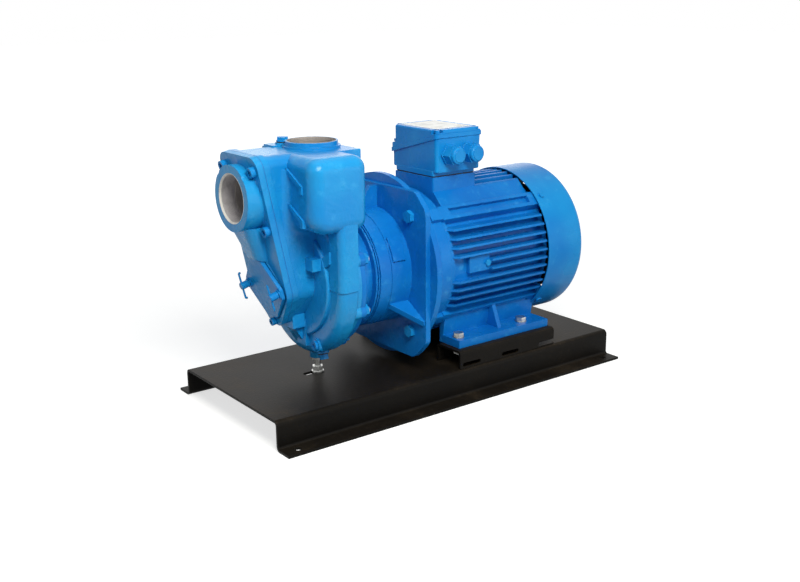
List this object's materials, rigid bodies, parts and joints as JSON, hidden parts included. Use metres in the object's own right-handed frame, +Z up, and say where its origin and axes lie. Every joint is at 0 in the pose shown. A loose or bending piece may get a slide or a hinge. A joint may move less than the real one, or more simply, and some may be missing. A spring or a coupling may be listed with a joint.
{
  "type": "electric semi-trash pump",
  "caption": "Self-priming semi-trash pump close coupled to a foot and flange electric motor on a folded steel base, with threaded ports, clean-out cover, check flap and drain and filler plugs.",
  "frame": {"origin": "on the floor under the middle of the base plate", "axes": "+X along the shaft from the pump to the fan, +Z up; the suction port faces -X"},
  "size_m": [0.69, 0.35, 0.4265],
  "materials": {
    "blue_enamel": "gloss enamel over cast iron and sheet steel",
    "black_enamel": "satin black enamel with a little dust",
    "zinc_steel": "zinc plated",
    "machined_steel": "machined and ground",
    "bare_iron": "bare casting",
    "core_steel": "laminated core",
    "copper_winding": "varnished copper",
    "gland_metal": "painted over",
    "terminal_plastic": "moulded",
    "fan_plastic": "moulded",
    "seal_rubber": "matte"
  },
  "bodies": {
    "pump_set": {"back_plate": "bare_iron", "back_plate_ring": "seal_rubber", "base_plate": "black_enamel", "bearing_balls": "machined_steel", "bearing_outer_rings": "machined_steel", "cable_glands": "gland_metal", "casing_nuts": "blue_enamel", "casing_plug": "blue_enamel", "casing_studs": "zinc_steel", "cover_gasket": "seal_rubber", "cover_screws": "blue_enamel", "cowl_screws": "blue_enamel", "earth_screw": "blue_enamel", "end_shield_bolts": "blue_enamel", "fan_cowl": "blue_enamel", "flange_bolts": "blue_enamel", "flange_end_shield": "blue_enamel", "flap_pin": "zinc_steel", "foot_bolts": "zinc_steel", "foot_nuts": "zinc_steel", "gland_plugs": "gland_metal", "lid_screws": "zinc_steel", "motor_frame": "blue_enamel", "motor_risers": "black_enamel", "pump_bracket": "blue_enamel", "pump_casing": "blue_enamel", "rear_end_shield": "blue_enamel", "seal_seat": "seal_rubber", "stator_core": "core_steel", "stator_windings": "copper_winding", "suction_cover": "blue_enamel", "support_stud": "zinc_steel", "terminal_board": "terminal_plastic", "terminal_box": "blue_enamel", "terminal_box_gasket": "seal_rubber", "terminal_lid": "blue_enamel", "wear_plate": "machined_steel"},
    "rotor": {"motor_shaft": "machined_steel", "rotor_core": "core_steel", "cooling_fan": "fan_plastic", "pump_shaft": "machined_steel", "shaft_keys": "machined_steel", "impeller": "bare_iron", "impeller_nut": "machined_steel", "seal_head": "machined_steel", "bearing_inner_rings": "machined_steel"},
    "cleanout": {"cleanout_cover": "blue_enamel", "cleanout_gasket": "seal_rubber"},
    "washer_near": {"clamp_washer_near": "blue_enamel"},
    "washer_far": {"clamp_washer_far": "blue_enamel"},
    "screw_near": {"hand_screw_near": "blue_enamel"},
    "screw_far": {"hand_screw_far": "blue_enamel"},
    "bar_near": {"tommy_bar_near": "blue_enamel"},
    "bar_far": {"tommy_bar_far": "blue_enamel"},
    "flap": {"check_flap": "bare_iron"},
    "filler_seal": {"filler_washer": "seal_rubber"},
    "filler": {"filler_plug": "blue_enamel"},
    "drain_seal": {"drain_washer": "seal_rubber"},
    "drain": {"drain_plug": "blue_enamel"}
  },
  "joints": [
    {"name": "shaft_spin", "type": "hinge", "parent": "pump_set", "child": "rotor", "pos_m": [0, 0, 0.209], "axis": [1, 0, 0], "continuous": true},
    {"name": "cleanout_pull", "type": "slide", "parent": "pump_set", "child": "cleanout", "axis": [-0.9636, 0, -0.2672], "range_m": [0, 0.06]},
    {"name": "clamp_travel_near", "type": "slide", "parent": "cleanout", "child": "washer_near", "axis": [-0.9636, 0, -0.2672], "range_m": [0, 0.008]},
    {"name": "clamp_turn_near", "type": "hinge", "parent": "washer_near", "child": "screw_near", "pos_m": [-0.28851, -0.044, 0.19989], "axis": [-0.9636, 0, -0.2672], "range_deg": [0, 2305]},
    {"name": "bar_slide_near", "type": "slide", "parent": "screw_near", "child": "bar_near", "axis": [-0.2672, 0, 0.9636], "range_m": [-0.01, 0.01]},
    {"name": "clamp_travel_far", "type": "slide", "parent": "cleanout", "child": "washer_far", "axis": [-0.9636, 0, -0.2672], "range_m": [0, 0.008]},
    {"name": "clamp_turn_far", "type": "hinge", "parent": "washer_far", "child": "screw_far", "pos_m": [-0.28851, 0.044, 0.19989], "axis": [-0.9636, 0, -0.2672], "range_deg": [0, 2305]},
    {"name": "bar_slide_far", "type": "slide", "parent": "screw_far", "child": "bar_far", "axis": [-0.2669, -0.0523, 0.9623], "range_m": [-0.01, 0.01]},
    {"name": "flap_swing", "type": "hinge", "parent": "pump_set", "child": "flap", "pos_m": [-0.28881, 0, 0.39695], "axis": [0, -1, 0], "range_deg": [0, 20]},
    {"name": "filler_travel", "type": "slide", "parent": "pump_set", "child": "filler_seal", "axis": [0, 0, 1], "range_m": [0, 0.012]},
    {"name": "filler_turn", "type": "hinge", "parent": "filler_seal", "child": "filler", "pos_m": [-0.204, 0.046, 0.42], "axis": [0, 0, 1], "range_deg": [0, 2382.5]},
    {"name": "drain_travel", "type": "slide", "parent": "pump_set", "child": "drain_seal", "axis": [0, -0.2588, -0.9659], "range_m": [0, 0.018]},
    {"name": "drain_turn", "type": "hinge", "parent": "drain_seal", "child": "drain", "pos_m": [-0.1909, -0.03365, 0.08343], "axis": [0, -0.2588, -0.9659], "range_deg": [0, 4847.7]}
  ],
  "couplings": [
    {"joint": "clamp_turn_near", "follows": "clamp_travel_near", "rad_per_m": 5026.5},
    {"joint": "clamp_turn_far", "follows": "clamp_travel_far", "rad_per_m": 5026.5},
    {"joint": "filler_turn", "follows": "filler_travel", "rad_per_m": 3463.7},
    {"joint": "drain_turn", "follows": "drain_travel", "rad_per_m": 4699.5}
  ]
}
